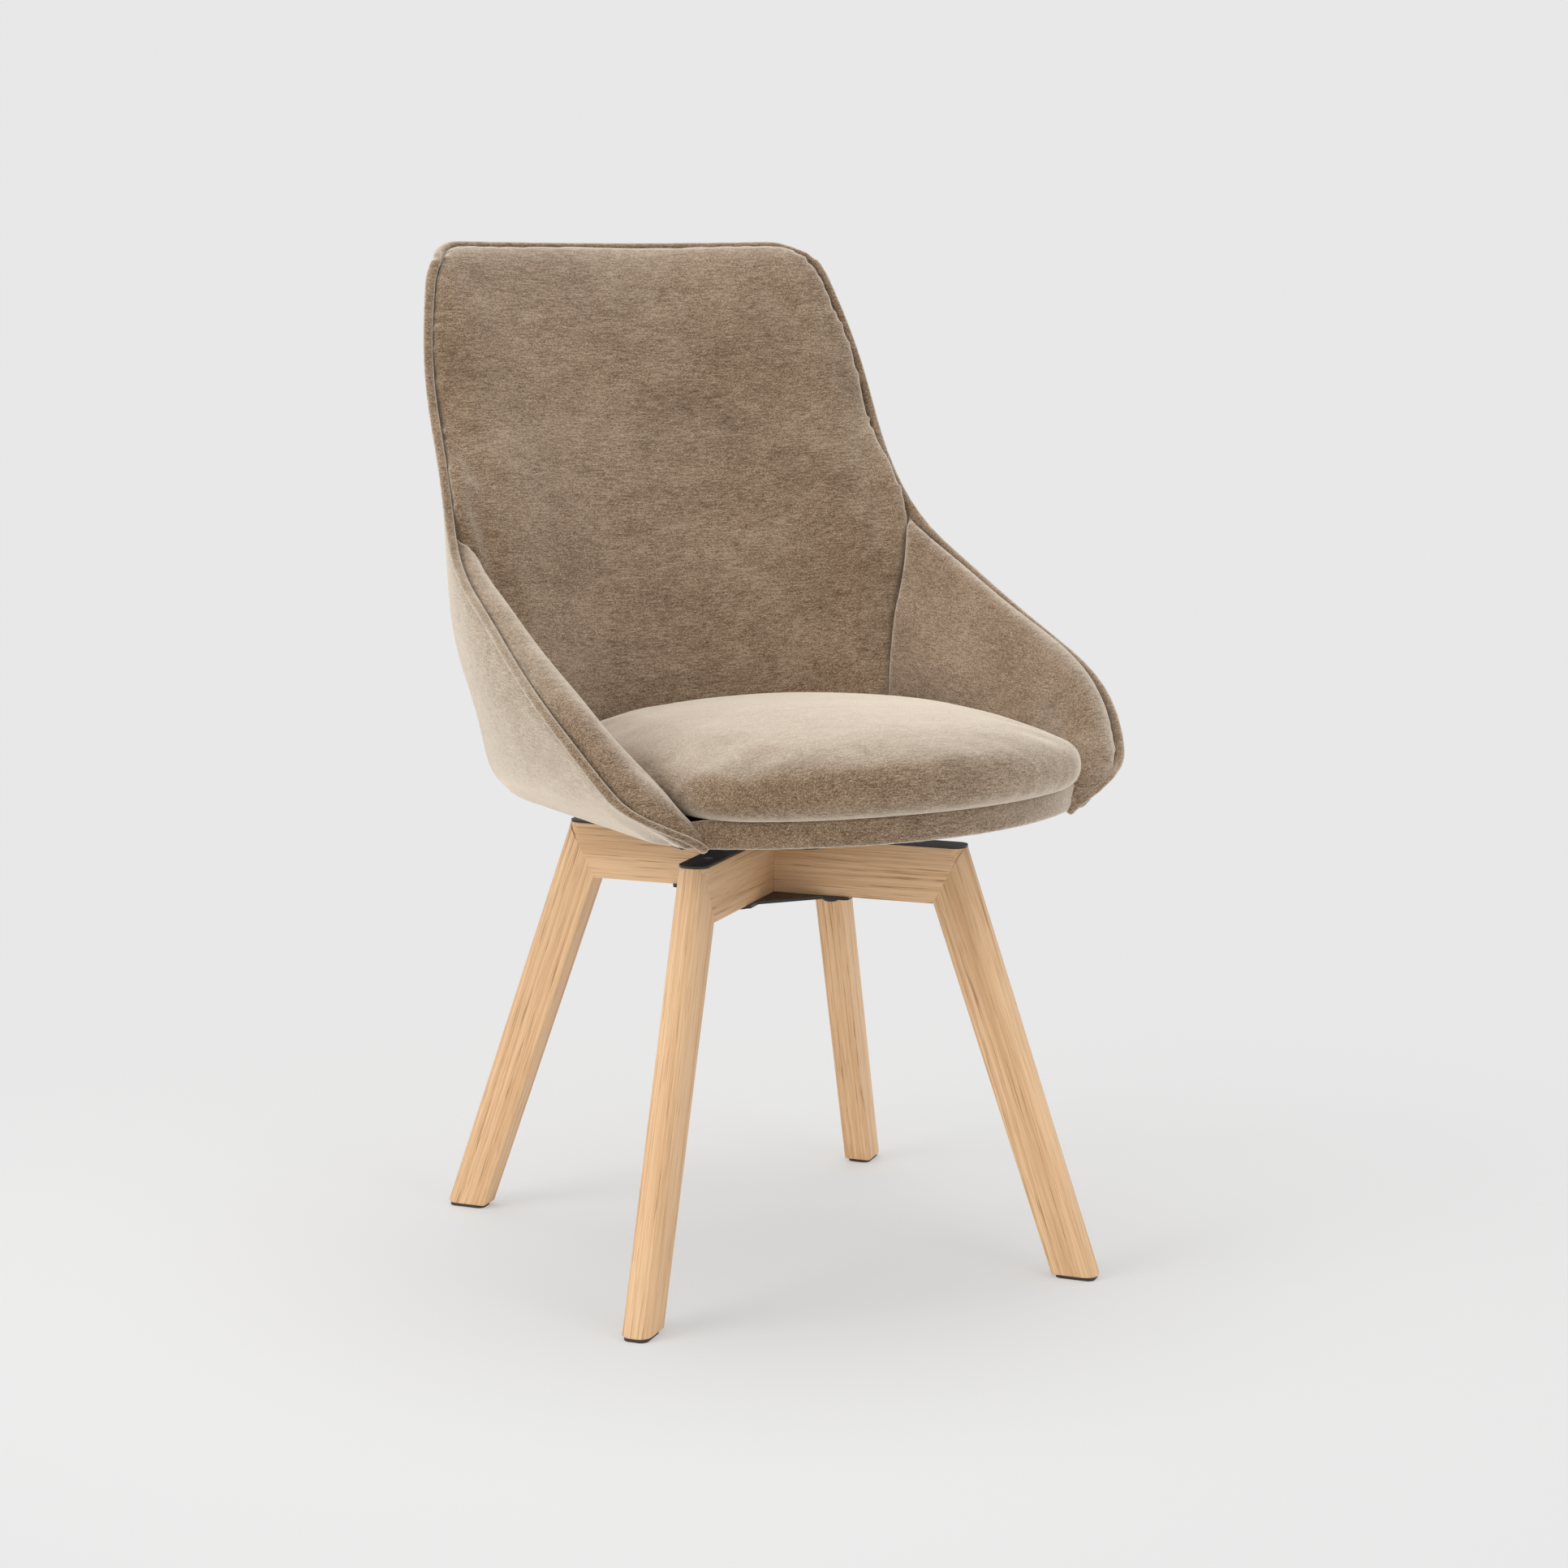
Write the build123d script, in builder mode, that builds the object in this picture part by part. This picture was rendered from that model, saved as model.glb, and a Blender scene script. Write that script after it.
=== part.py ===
from build123d import *
from math import acos, cos, degrees, radians, sin, sqrt
import os

os.makedirs("parts", exist_ok=True)

# Swivel dining chair: an upholstered bucket seat on an oak cross base.
# Millimetres. Floor at z = 0, swivel axis on z, seat front towards -Y.

# ---------------------------------------------------------------- base sizes
base_turn = -7.5            # the base stands this far round from the seat's diagonals
frame_top = 357.0           # top of the oak frame
beam_height = 47.0
frame_thickness = 25.0      # beams and legs share one board thickness
leg_top_reach = 177.0       # swivel axis to the outer top corner of a leg
mitre_run = 25.0            # how far the mitre leans over the beam's height
foot_reach = 299.0          # swivel axis to the outer edge of a foot
foot_width = 38.0
leg_nose_r = 10.5           # rounding of the outer leg edge
leg_inner_r = 3.0           # rounding of the inner leg edge
glide_height = 3.0
glide_inset = 2.5
glide_pin_r = 2.5
glide_pin_length = 12.0
joint_gap = 0.05            # glue gap of the wood joints

tenon_length = 26.0
tenon_width = 14.0
tenon_thickness = 8.0

plate_thickness = 2.0       # blackened steel cross on top of the frame
brace_thickness = 2.5       # black steel brace under the crossing
brace_side = 104.0
brace_arm_reach = 79.0
brace_arm_overhang = 3.0

bolt_r = 4.0
bolt_gap = 0.2
bolt_circle = 59.0          # on the beams, measured from the swivel axis
bolt_head_r = 7.0
bolt_head_height = 4.4
nut_across = 13.0
nut_height = 6.5
washer_r = 8.0
washer_thickness = 1.6
screw_r = 2.0
screw_head_r = 4.0
screw_length = 30.0
screw_from_bolt = 37.0      # inner screws, outside the bolts
screw_from_end = 41.0       # outer screws, inside the ends of the plate

# ------------------------------------------------------------- swivel sizes
flange_thickness = 3.0
lower_flange_side = 140.0
upper_flange_side = 150.0
race_inner_r = 34.0
race_outer_r = 50.0
race_height = 9.0
race_gap = 6.0              # between the two races
ball_r = 5.0
ball_count = 12
ball_play = 0.05
cage_height = 2.8
cage_inset = 1.5
spindle_r = 8.0
spindle_collar_r = 13.0
spindle_collar_height = 14.0
bush_wall = 3.0
bush_flange_r = 15.0
bush_flange_height = 1.5
hub_r = 17.0
hub_height = 7.0
running_gap = 0.05
end_play = 0.3
spindle_washer_r = 14.0
spindle_washer_height = 2.0
spindle_thread_r = 6.0
spindle_nut_across = 19.0
spindle_nut_height = 7.0
spindle_end = 0.7           # thread that stands above the nut
seat_bolt_r = 3.0
seat_bolt_spacing = 116.0
seat_bolt_head_across = 10.0
seat_bolt_head_height = 4.0
tee_flange_r = 9.0
tee_flange_height = 1.5
tee_barrel_r = 4.5

# --------------------------------------------------------------- seat sizes
board_thickness = 12.0
cover_thickness = 3.0
core_thickness = 6.0
hem_drop = 1.0              # cover hem below the seat board
cord_r = 3.5                # piping
cord_inset = 4.0            # piping centre behind the outer face
cord_gap = 1.1
foam_height = 11.0
cushion_height = 58.0
cushion_crown_r = 900.0
foam_inset = 38.0
board_front_y = -176.0        # ends of the board beside the front rail
soft_gap = 0.3
rail_thickness = 8.0
rail_end_x = 181.0
rail_end_y = -186.0
rail_bow = 59.0
rail_core_width = 12.0
lining_thickness = 1.0
back_top = 848.0            # top of the back, at the piping centre
back_corner_r = 46.0
back_corner_x = 165.0

# ------------------------------------------------------------ derived levels
frame_bottom = frame_top - beam_height
leg_inner_reach = leg_top_reach - mitre_run      # inner end of the mitre
screw_reaches = (bolt_circle + screw_from_bolt, leg_top_reach - screw_from_end)
plate_top = frame_top + plate_thickness
lower_race_z = plate_top + flange_thickness
ball_z = lower_race_z + race_height + race_gap / 2
upper_race_z = ball_z + race_gap / 2
upper_flange_z = upper_race_z + race_height
board_bottom = upper_flange_z + flange_thickness
board_top = board_bottom + board_thickness
hem_z = board_bottom - hem_drop
cushion_bottom = board_top + foam_height
tee_z = board_top - tee_flange_height
core_inset = cover_thickness
pad_inset = cover_thickness + core_thickness
trim_inset = cord_r + cord_gap
base_plane = Plane(origin=(0, 0, 0), x_dir=(cos(radians(45 + base_turn)), sin(radians(45 + base_turn)), 0),
                   z_dir=(0, 0, 1))


def level(z):
    """Horizontal plane at a height, in the seat's own directions."""
    return Plane.XY.offset(z)


def base_level(z):
    """Horizontal plane at a height, with x along one beam."""
    return base_plane.offset(z)


def beam_side_plane(index):
    """Vertical plane through the axis that holds the radial profile of leg or beam end index."""
    turn = radians(45 + base_turn + 90 * index)
    return Plane(origin=(0, 0, 0), x_dir=(cos(turn), sin(turn), 0), z_dir=(sin(turn), -cos(turn), 0))


def outer_reach(z):
    """Distance from the swivel axis to the outer leg edge at height z."""
    return foot_reach + (leg_top_reach - foot_reach) * z / frame_top


def inner_reach(z):
    """Distance from the swivel axis to the inner leg edge at height z."""
    return foot_reach - foot_width + (leg_inner_reach - foot_reach + foot_width) * z / frame_bottom


# The mitre runs from the inner end of the beam's underside to the outer top corner.
mitre_mid = ((leg_top_reach + leg_inner_reach) / 2, (frame_top + frame_bottom) / 2)
mitre_length = sqrt(mitre_run**2 + beam_height**2)
mitre_normal = (beam_height / mitre_length, -mitre_run / mitre_length)


def tenon_plane(index):
    """Plane at the middle of mitre index, normal along the loose tenon."""
    side = beam_side_plane(index)
    centre = side.from_local_coords(Vector(mitre_mid[0], mitre_mid[1], 0))
    along = side.from_local_coords(Vector(mitre_mid[0] + mitre_normal[0], mitre_mid[1] + mitre_normal[1], 0))
    return Plane(origin=centre, x_dir=side.z_dir, z_dir=along - centre)


def tenon_section(index, gap):
    """Round-ended section of a tenon, or of its slot when a gap is given."""
    with BuildSketch(tenon_plane(index)) as section:
        RectangleRounded(tenon_thickness + 2 * gap, tenon_width + 2 * gap, tenon_thickness / 2 - 0.01)
    return section.sketch


# ================================================================== oak legs
leg_names = ("leg_back_right", "leg_back_left", "leg_front_left", "leg_front_right")
for leg_index, leg_name in enumerate(leg_names):
    with BuildPart() as leg:
        with BuildSketch(beam_side_plane(leg_index)):
            with BuildLine():
                Polyline(
                    (inner_reach(glide_height), glide_height),
                    (outer_reach(glide_height), glide_height),
                    (leg_top_reach, frame_top),
                    (leg_inner_reach, frame_bottom),
                    close=True,
                )
            make_face()
        extrude(amount=frame_thickness / 2, both=True)
        long_edges = leg.edges().filter_by(lambda e: abs(e.tangent_at(0.5).Z) > 0.7 and e.length > 200)
        by_reach = long_edges.sort_by(lambda e: Vector(e.center().X, e.center().Y, 0).length)
        fillet(by_reach[-2:], radius=leg_nose_r)
        inner_edges = leg.edges().filter_by(
            lambda e: abs(e.tangent_at(0.5).Z) > 0.7 and e.length > 200
        ).sort_by(lambda e: Vector(e.center().X, e.center().Y, 0).length)
        fillet(inner_edges[:2], radius=leg_inner_r)
        fillet(leg.faces().sort_by(Axis.Z)[0].edges(), radius=1.2)
        slot = tenon_section(leg_index, joint_gap)
        extrude(slot, amount=tenon_length / 2 + joint_gap, both=True, mode=Mode.SUBTRACT)
        foot_mid = (outer_reach(glide_height) + inner_reach(glide_height)) / 2
        with BuildSketch(base_level(glide_height)):
            with PolarLocations(0, 1, start_angle=90 * leg_index):
                with Locations((foot_mid, 0)):
                    Circle(glide_pin_r + joint_gap)
        extrude(amount=glide_pin_length + joint_gap, mode=Mode.SUBTRACT)
    leg.part.label = leg_name
    export_step(leg.part, "parts/" + leg_name + ".step")

# ============================================ foot glides, one group of four
with BuildPart() as foot_glides:
    for glide_index in range(4):
        with BuildSketch(base_level(0)):
            with PolarLocations(0, 1, start_angle=90 * glide_index):
                with Locations((foot_mid, 0)):
                    RectangleRounded(foot_width - 2 * glide_inset, frame_thickness - 2 * glide_inset, 6)
        extrude(amount=glide_height)
        with BuildSketch(base_level(glide_height)):
            with PolarLocations(0, 1, start_angle=90 * glide_index):
                with Locations((foot_mid, 0)):
                    Circle(glide_pin_r)
        extrude(amount=glide_pin_length)
foot_glides.part.label = "foot_glides"
export_step(foot_glides.part, "parts/foot_glides.step")

# ================================================== crossed, half-lapped beams
beam_names = ("beam_lower", "beam_upper")
for beam_index, beam_name in enumerate(beam_names):
    with BuildPart() as beam:
        with BuildSketch(beam_side_plane(beam_index)):
            with BuildLine():
                Polyline(
                    (-leg_inner_reach, frame_bottom),
                    (leg_inner_reach, frame_bottom),
                    (leg_top_reach, frame_top),
                    (-leg_top_reach, frame_top),
                    close=True,
                )
            make_face()
        extrude(amount=frame_thickness / 2, both=True)
        # The beam end follows the rounded nose of the leg.
        with BuildSketch(base_level(frame_bottom - 5)):
            with PolarLocations(0, 1, start_angle=90 * beam_index):
                RectangleRounded(2 * leg_top_reach, frame_thickness, leg_nose_r)
        extrude(amount=beam_height + 10, mode=Mode.INTERSECT)
        # Half lap at the crossing: the lower beam is notched from above.
        lap_z = frame_bottom + beam_height / 2 if beam_index == 0 else frame_bottom
        with BuildSketch(base_level(lap_z)):
            Rectangle(frame_thickness + 2 * joint_gap, frame_thickness + 2 * joint_gap)
        extrude(amount=beam_height / 2, mode=Mode.SUBTRACT)
        for end_index in (beam_index, beam_index + 2):
            slot = tenon_section(end_index, joint_gap)
            extrude(slot, amount=tenon_length / 2 + joint_gap, both=True, mode=Mode.SUBTRACT)
        with BuildSketch(base_level(frame_bottom)):
            with PolarLocations(bolt_circle, 4):
                Circle(bolt_r + bolt_gap)
        extrude(amount=beam_height, mode=Mode.SUBTRACT)
        with BuildSketch(base_level(frame_top)):
            for screw_reach in screw_reaches:
                with PolarLocations(screw_reach, 4):
                    Circle(screw_r + joint_gap)
        extrude(amount=-screw_length, mode=Mode.SUBTRACT)
    beam.part.label = beam_name
    export_step(beam.part, "parts/" + beam_name + ".step")

# ============================================================ loose tenons
with BuildPart() as mitre_tenons:
    for tenon_index in range(4):
        extrude(tenon_section(tenon_index, 0), amount=tenon_length / 2, both=True)
mitre_tenons.part.label = "mitre_tenons"
export_step(mitre_tenons.part, "parts/mitre_tenons.step")

# =================================================== steel cross on the frame
with BuildPart() as top_plate:
    with BuildSketch(base_level(frame_top)):
        for arm_index in range(2):
            with PolarLocations(0, 1, start_angle=90 * arm_index):
                RectangleRounded(2 * leg_top_reach, frame_thickness, leg_nose_r)
    extrude(amount=plate_thickness)
    with BuildSketch(base_level(frame_top)):
        with PolarLocations(bolt_circle, 4):
            Circle(bolt_r + bolt_gap)
    extrude(amount=plate_thickness, mode=Mode.SUBTRACT)
    with Locations(base_level(frame_top + plate_thickness / 2)):
        for screw_reach in screw_reaches:
            with PolarLocations(screw_reach, 4):
                Cone(screw_r + joint_gap, screw_head_r + joint_gap, plate_thickness, mode=Mode.SUBTRACT)
top_plate.part.label = "top_plate"
export_step(top_plate.part, "parts/top_plate.step")

# Countersunk screws, heads flush with the plate.
with BuildPart() as plate_screws:
    for screw_reach in screw_reaches:
        with Locations(base_level(frame_top + plate_thickness / 2)):
            with PolarLocations(screw_reach, 4):
                Cone(screw_r, screw_head_r, plate_thickness)
        with BuildSketch(base_level(frame_top)):
            with PolarLocations(screw_reach, 4):
                Circle(screw_r)
        extrude(amount=-screw_length + 1)
plate_screws.part.label = "plate_screws"
export_step(plate_screws.part, "parts/plate_screws.step")

# ================================================== black brace under the cross
brace_z = frame_bottom - brace_thickness
with BuildPart() as under_brace:
    with BuildSketch(base_level(brace_z)):
        Rectangle(brace_side, brace_side, rotation=45)
        for arm_index in range(2):
            RectangleRounded(
                2 * brace_arm_reach,
                frame_thickness + 2 * brace_arm_overhang,
                4,
                rotation=90 * arm_index,
            )
    extrude(amount=brace_thickness)
    with BuildSketch(base_level(brace_z)):
        with PolarLocations(bolt_circle, 4):
            Circle(bolt_r + bolt_gap)
    extrude(amount=brace_thickness, mode=Mode.SUBTRACT)
under_brace.part.label = "under_brace"
export_step(under_brace.part, "parts/under_brace.step")

# ============================================ through bolts, washers and nuts
nut_z = lower_race_z + washer_thickness
with BuildPart() as frame_bolts:
    for bolt_index in range(4):
        with BuildSketch(base_level(brace_z - bolt_head_height)):
            with PolarLocations(bolt_circle, 1, start_angle=90 * bolt_index):
                Circle(bolt_head_r)
        extrude(amount=bolt_head_height)
        with BuildSketch(base_level(brace_z)):
            with PolarLocations(bolt_circle, 1, start_angle=90 * bolt_index):
                Circle(bolt_r)
        extrude(amount=nut_z + nut_height + 0.5 - brace_z)
    head_rims = frame_bolts.edges().filter_by(GeomType.CIRCLE).group_by(Axis.Z)[0]
    fillet(head_rims, radius=bolt_head_height * 0.6)
    with BuildSketch(base_level(brace_z - bolt_head_height)):
        with PolarLocations(bolt_circle, 4):
            RegularPolygon(2.9, 6)
    extrude(amount=2.6, mode=Mode.SUBTRACT)
frame_bolts.part.label = "frame_bolts"
export_step(frame_bolts.part, "parts/frame_bolts.step")

with BuildPart() as frame_washers:
    with BuildSketch(base_level(lower_race_z)):
        with PolarLocations(bolt_circle, 4):
            Circle(washer_r)
            Circle(bolt_r + bolt_gap, mode=Mode.SUBTRACT)
    extrude(amount=washer_thickness)
frame_washers.part.label = "frame_washers"
export_step(frame_washers.part, "parts/frame_washers.step")

with BuildPart() as frame_nuts:
    with BuildSketch(base_level(nut_z)):
        with PolarLocations(bolt_circle, 4):
            RegularPolygon(nut_across / 2, 6, major_radius=False)
            Circle(bolt_r + 0.02, mode=Mode.SUBTRACT)
    extrude(amount=nut_height)
frame_nuts.part.label = "frame_nuts"
export_step(frame_nuts.part, "parts/frame_nuts.step")

# ============================================================ swivel bearing
with BuildPart() as lower_flange:
    with BuildSketch(base_level(plate_top)):
        RectangleRounded(lower_flange_side, lower_flange_side, 10)
        Circle(spindle_r + 0.02, mode=Mode.SUBTRACT)
        with PolarLocations(bolt_circle, 4):
            Circle(bolt_r + bolt_gap, mode=Mode.SUBTRACT)
    extrude(amount=flange_thickness)
lower_flange.part.label = "lower_flange"
export_step(lower_flange.part, "parts/lower_flange.step")

ball_circle = (race_inner_r + race_outer_r) / 2


def race_section(bottom):
    """Half section of a race ring with its round groove for the balls."""
    with BuildSketch(Plane.XZ) as section:
        with Locations((ball_circle, bottom + race_height / 2)):
            Rectangle(race_outer_r - race_inner_r, race_height)
        with Locations((ball_circle, ball_z)):
            Circle(ball_r + ball_play, mode=Mode.SUBTRACT)
    return section.sketch


with BuildPart() as lower_race:
    revolve(race_section(lower_race_z), axis=Axis.Z)
lower_race.part.label = "lower_race"
export_step(lower_race.part, "parts/lower_race.step")

with BuildPart() as upper_race:
    revolve(race_section(upper_race_z), axis=Axis.Z)
upper_race.part.label = "upper_race"
export_step(upper_race.part, "parts/upper_race.step")

with BuildPart() as bearing_balls:
    with PolarLocations(ball_circle, ball_count):
        with Locations((0, 0, ball_z)):
            Sphere(ball_r)
bearing_balls.part.label = "bearing_balls"
export_step(bearing_balls.part, "parts/bearing_balls.step")

with BuildPart() as ball_cage:
    with BuildSketch(level(ball_z - cage_height / 2)):
        Circle(race_outer_r - cage_inset)
        Circle(race_inner_r + cage_inset, mode=Mode.SUBTRACT)
        with PolarLocations(ball_circle, ball_count):
            Circle(ball_r + 2 * ball_play, mode=Mode.SUBTRACT)
    extrude(amount=cage_height)
ball_cage.part.label = "ball_cage"
export_step(ball_cage.part, "parts/ball_cage.step")

# Spindle: welded into the lower flange, collar below, thread above.
bush_top = board_bottom + bush_flange_height
shoulder_z = bush_top + end_play
spindle_nut_z = shoulder_z + spindle_washer_height
with BuildPart() as spindle:
    with BuildSketch(level(plate_top)):
        Circle(spindle_r)
    extrude(amount=shoulder_z - plate_top)
    with BuildSketch(level(lower_race_z)):
        Circle(spindle_collar_r)
    extrude(amount=spindle_collar_height)
    with BuildSketch(level(shoulder_z)):
        Circle(spindle_thread_r)
    extrude(amount=spindle_washer_height + spindle_nut_height + spindle_end)
    chamfer(spindle.faces().sort_by(Axis.Z)[-1].edges(), length=0.6)
spindle.part.label = "spindle"
export_step(spindle.part, "parts/spindle.step")

with BuildPart() as spindle_washer:
    with BuildSketch(level(shoulder_z)):
        Circle(spindle_washer_r)
        Circle(spindle_thread_r + 0.1, mode=Mode.SUBTRACT)
    extrude(amount=spindle_washer_height)
spindle_washer.part.label = "spindle_washer"
export_step(spindle_washer.part, "parts/spindle_washer.step")

with BuildPart() as spindle_nut:
    with BuildSketch(level(spindle_nut_z)):
        RegularPolygon(spindle_nut_across / 2, 6, major_radius=False)
        Circle(spindle_thread_r + 0.02, mode=Mode.SUBTRACT)
    extrude(amount=spindle_nut_height)
spindle_nut.part.label = "spindle_nut"
export_step(spindle_nut.part, "parts/spindle_nut.step")

bush_inner_r = spindle_r + running_gap
bush_outer_r = bush_inner_r + bush_wall
with BuildPart() as pivot_bush:
    with BuildSketch(level(upper_flange_z - hub_height)):
        Circle(bush_outer_r)
    extrude(amount=hub_height + flange_thickness)
    with BuildSketch(level(board_bottom)):
        Circle(bush_flange_r)
    extrude(amount=bush_flange_height)
    with BuildSketch(level(upper_flange_z - hub_height)):
        Circle(bush_inner_r)
    extrude(amount=hub_height + flange_thickness + bush_flange_height, mode=Mode.SUBTRACT)
pivot_bush.part.label = "pivot_bush"
export_step(pivot_bush.part, "parts/pivot_bush.step")

with BuildPart() as upper_flange:
    with BuildSketch(level(upper_flange_z)):
        RectangleRounded(upper_flange_side, upper_flange_side, 10)
    extrude(amount=flange_thickness)
    with BuildSketch(level(upper_flange_z - hub_height)):
        Circle(hub_r)
    extrude(amount=hub_height)
    with BuildSketch(level(upper_flange_z - hub_height)):
        Circle(bush_outer_r)
    extrude(amount=hub_height + flange_thickness, mode=Mode.SUBTRACT)
    with BuildSketch(level(upper_flange_z)):
        with GridLocations(seat_bolt_spacing, seat_bolt_spacing, 2, 2):
            Circle(seat_bolt_r + bolt_gap)
    extrude(amount=flange_thickness, mode=Mode.SUBTRACT)
upper_flange.part.label = "upper_flange"
export_step(upper_flange.part, "parts/upper_flange.step")

# ============================================== seat bolts into sunk tee nuts
with BuildPart() as seat_bolts:
    for bolt_x in (-seat_bolt_spacing / 2, seat_bolt_spacing / 2):
        for bolt_y in (-seat_bolt_spacing / 2, seat_bolt_spacing / 2):
            with BuildSketch(level(upper_flange_z - seat_bolt_head_height)):
                with Locations((bolt_x, bolt_y)):
                    RegularPolygon(seat_bolt_head_across / 2, 6, major_radius=False)
            extrude(amount=seat_bolt_head_height)
            with BuildSketch(level(upper_flange_z)):
                with Locations((bolt_x, bolt_y)):
                    Circle(seat_bolt_r)
            extrude(amount=tee_z - upper_flange_z)
seat_bolts.part.label = "seat_bolts"
export_step(seat_bolts.part, "parts/seat_bolts.step")

with BuildPart() as tee_nuts:
    with BuildSketch(level(tee_z)):
        with GridLocations(seat_bolt_spacing, seat_bolt_spacing, 2, 2):
            Circle(tee_flange_r)
    extrude(amount=tee_flange_height)
    with BuildSketch(level(board_bottom + 3)):
        with GridLocations(seat_bolt_spacing, seat_bolt_spacing, 2, 2):
            Circle(tee_barrel_r)
    extrude(amount=tee_z - board_bottom - 3)
    with BuildSketch(level(board_bottom)):
        with GridLocations(seat_bolt_spacing, seat_bolt_spacing, 2, 2):
            Circle(seat_bolt_r + 0.02)
    extrude(amount=board_thickness, mode=Mode.SUBTRACT)
tee_nuts.part.label = "tee_nuts"
export_step(tee_nuts.part, "parts/tee_nuts.step")

# ================================================================ bucket form
# Plan of the bucket at a height: a wide rear arc, a rear corner arc and a long
# side arc, tangent to each other, then a straight line forwards. Each station
# gives height, the corner point (x, y) where the wall turns 60 degrees, the
# corner radius and the side radius.
rear_turn = radians(16)
corner_turn = radians(60)
side_turn = radians(87)
bucket_front = -300.0
bucket_reach = 400.0
bucket_stations = (
    (hem_z - 6, 153, 168, 66, 205),
    (390, 160, 165, 70, 210),
    (404, 175, 158, 80, 275),
    (424, 189, 147, 95, 360),
    (448, 200, 136, 108, 395),
    (485, 214, 130, 110, 385),
    (530, 226, 133, 110, 245),
    (600, 224, 150, 100, 200),
    (685, 219, 178, 85, 180),
    (776, 208, 206, 75, 180),
    (864, 196, 226, 65, 180),
)


def plan_arcs(corner_x, corner_y, corner_r, side_r):
    """Centres and radii of the rear, corner and side arcs of a bucket plan."""
    rear_x = corner_x - corner_r * (sin(corner_turn) - sin(rear_turn))
    rear_r = rear_x / sin(rear_turn)
    rear_y = corner_y + corner_r * (cos(rear_turn) - cos(corner_turn)) - rear_r * cos(rear_turn)
    rear = (0.0, rear_y, rear_r)
    corner = (
        (rear_r - corner_r) * sin(rear_turn),
        rear_y + (rear_r - corner_r) * cos(rear_turn),
        corner_r,
    )
    side = (
        corner[0] + (corner_r - side_r) * sin(corner_turn),
        corner[1] + (corner_r - side_r) * cos(corner_turn),
        side_r,
    )
    return rear, corner, side


def arc_point(arc, turn, inset):
    """Point on an arc of the plan, moved inwards by the inset."""
    return arc[0] + (arc[2] - inset) * sin(turn), arc[1] + (arc[2] - inset) * cos(turn)


def bucket_sections(inset):
    """Plan sections of the bucket, its wall moved inwards by the inset."""
    sections = []
    for height, corner_x, corner_y, corner_r, side_r in bucket_stations:
        rear, corner, side = plan_arcs(corner_x, corner_y, corner_r, side_r)
        with BuildSketch(level(height)) as plan:
            with BuildLine():
                for hand in (1, -1):
                    a = arc_point(rear, rear_turn, inset)
                    b = arc_point(corner, (rear_turn + corner_turn) / 2, inset)
                    c = arc_point(corner, corner_turn, inset)
                    d = arc_point(side, (corner_turn + side_turn) / 2, inset)
                    e = arc_point(side, side_turn, inset)
                    run = (e[1] - bucket_front) / sin(side_turn)
                    f = (e[0] + run * cos(side_turn), bucket_front)
                    ThreePointArc((hand * a[0], a[1]), (hand * b[0], b[1]), (hand * c[0], c[1]))
                    ThreePointArc((hand * c[0], c[1]), (hand * d[0], d[1]), (hand * e[0], e[1]))
                    Line((hand * e[0], e[1]), (hand * f[0], f[1]))
                    Line((hand * f[0], f[1]), (0, bucket_front))
                ThreePointArc((-a[0], a[1]), (0, rear[1] + rear[2] - inset), (a[0], a[1]))
            make_face()
        sections.append(plan.sketch)
    return sections


# Side view of the rim, at the piping centre: (y, z) from the front corner up.
rim_side_points = (
    (-185, 388),
    (-184.5, 402),
    (-168, 428),
    (-123, 471),
    (-42, 515),
    (52, 563),
    (109, 599),
    (146, 647),
    (183, 731),
    (205, 798),
    (214, 826),
    (222, 870),
)


rim_line = Spline(*[(0, y, z) for y, z in rim_side_points])
rim_samples = 40


def rim_offset_points(inset):
    """Side-view points of the rim line, moved squarely back from it by the inset."""
    points = []
    for sample in range(rim_samples + 1):
        at = rim_line.position_at(sample / rim_samples)
        along = rim_line.tangent_at(sample / rim_samples)
        points.append((at.Y + inset * along.Z, at.Z - inset * along.Y))
    return points


def rim_side_profile(inset):
    """Side-view region behind the rim line, moved back by the inset."""
    with BuildSketch(Plane.YZ) as profile:
        with BuildLine():
            rim = Spline(*rim_offset_points(inset))
            Polyline(rim @ 1, (340, 880), (340, 340), ((rim @ 0).X, 340), rim @ 0)
        make_face()
    return profile.sketch


def rim_front_profile(inset, lift):
    """Front-view region under the top edge with its rounded corners."""
    corner_z = back_top - back_corner_r
    r = back_corner_r - inset + lift
    wide = back_corner_x + r
    with BuildSketch(Plane.XZ) as profile:
        with BuildLine():
            Polyline((-back_corner_x, corner_z + r), (back_corner_x, corner_z + r))
            RadiusArc((back_corner_x, corner_z + r), (wide, corner_z), r)
            Polyline((wide, corner_z), (340, corner_z - 120), (340, 340), (-340, 340),
                     (-340, corner_z - 120), (-wide, corner_z))
            RadiusArc((-wide, corner_z), (-back_corner_x, corner_z + r), r)
        make_face()
    return profile.sketch


side_cut = rim_side_profile(trim_inset)
front_cut = rim_front_profile(trim_inset, 0)

# The bucket's closed form at three depths of its wall.
with BuildPart() as outer_form:
    loft(bucket_sections(0))
with BuildPart() as core_form:
    loft(bucket_sections(core_inset))
with BuildPart() as inner_form:
    loft(bucket_sections(pad_inset))


def wall_half_width(form, y, z):
    """Half width of a bucket form at a depth and a height."""
    hits = form.find_intersection_points(Axis((0, y, z), (1, 0, 0)))
    return max(point.X for point, normal in hits)


def wall_depth(form, x, z):
    """How far back a bucket form reaches at a half width and a height."""
    hits = form.find_intersection_points(Axis((x, 0, z), (0, 1, 0)))
    return max(point.Y for point, normal in hits)


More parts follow.
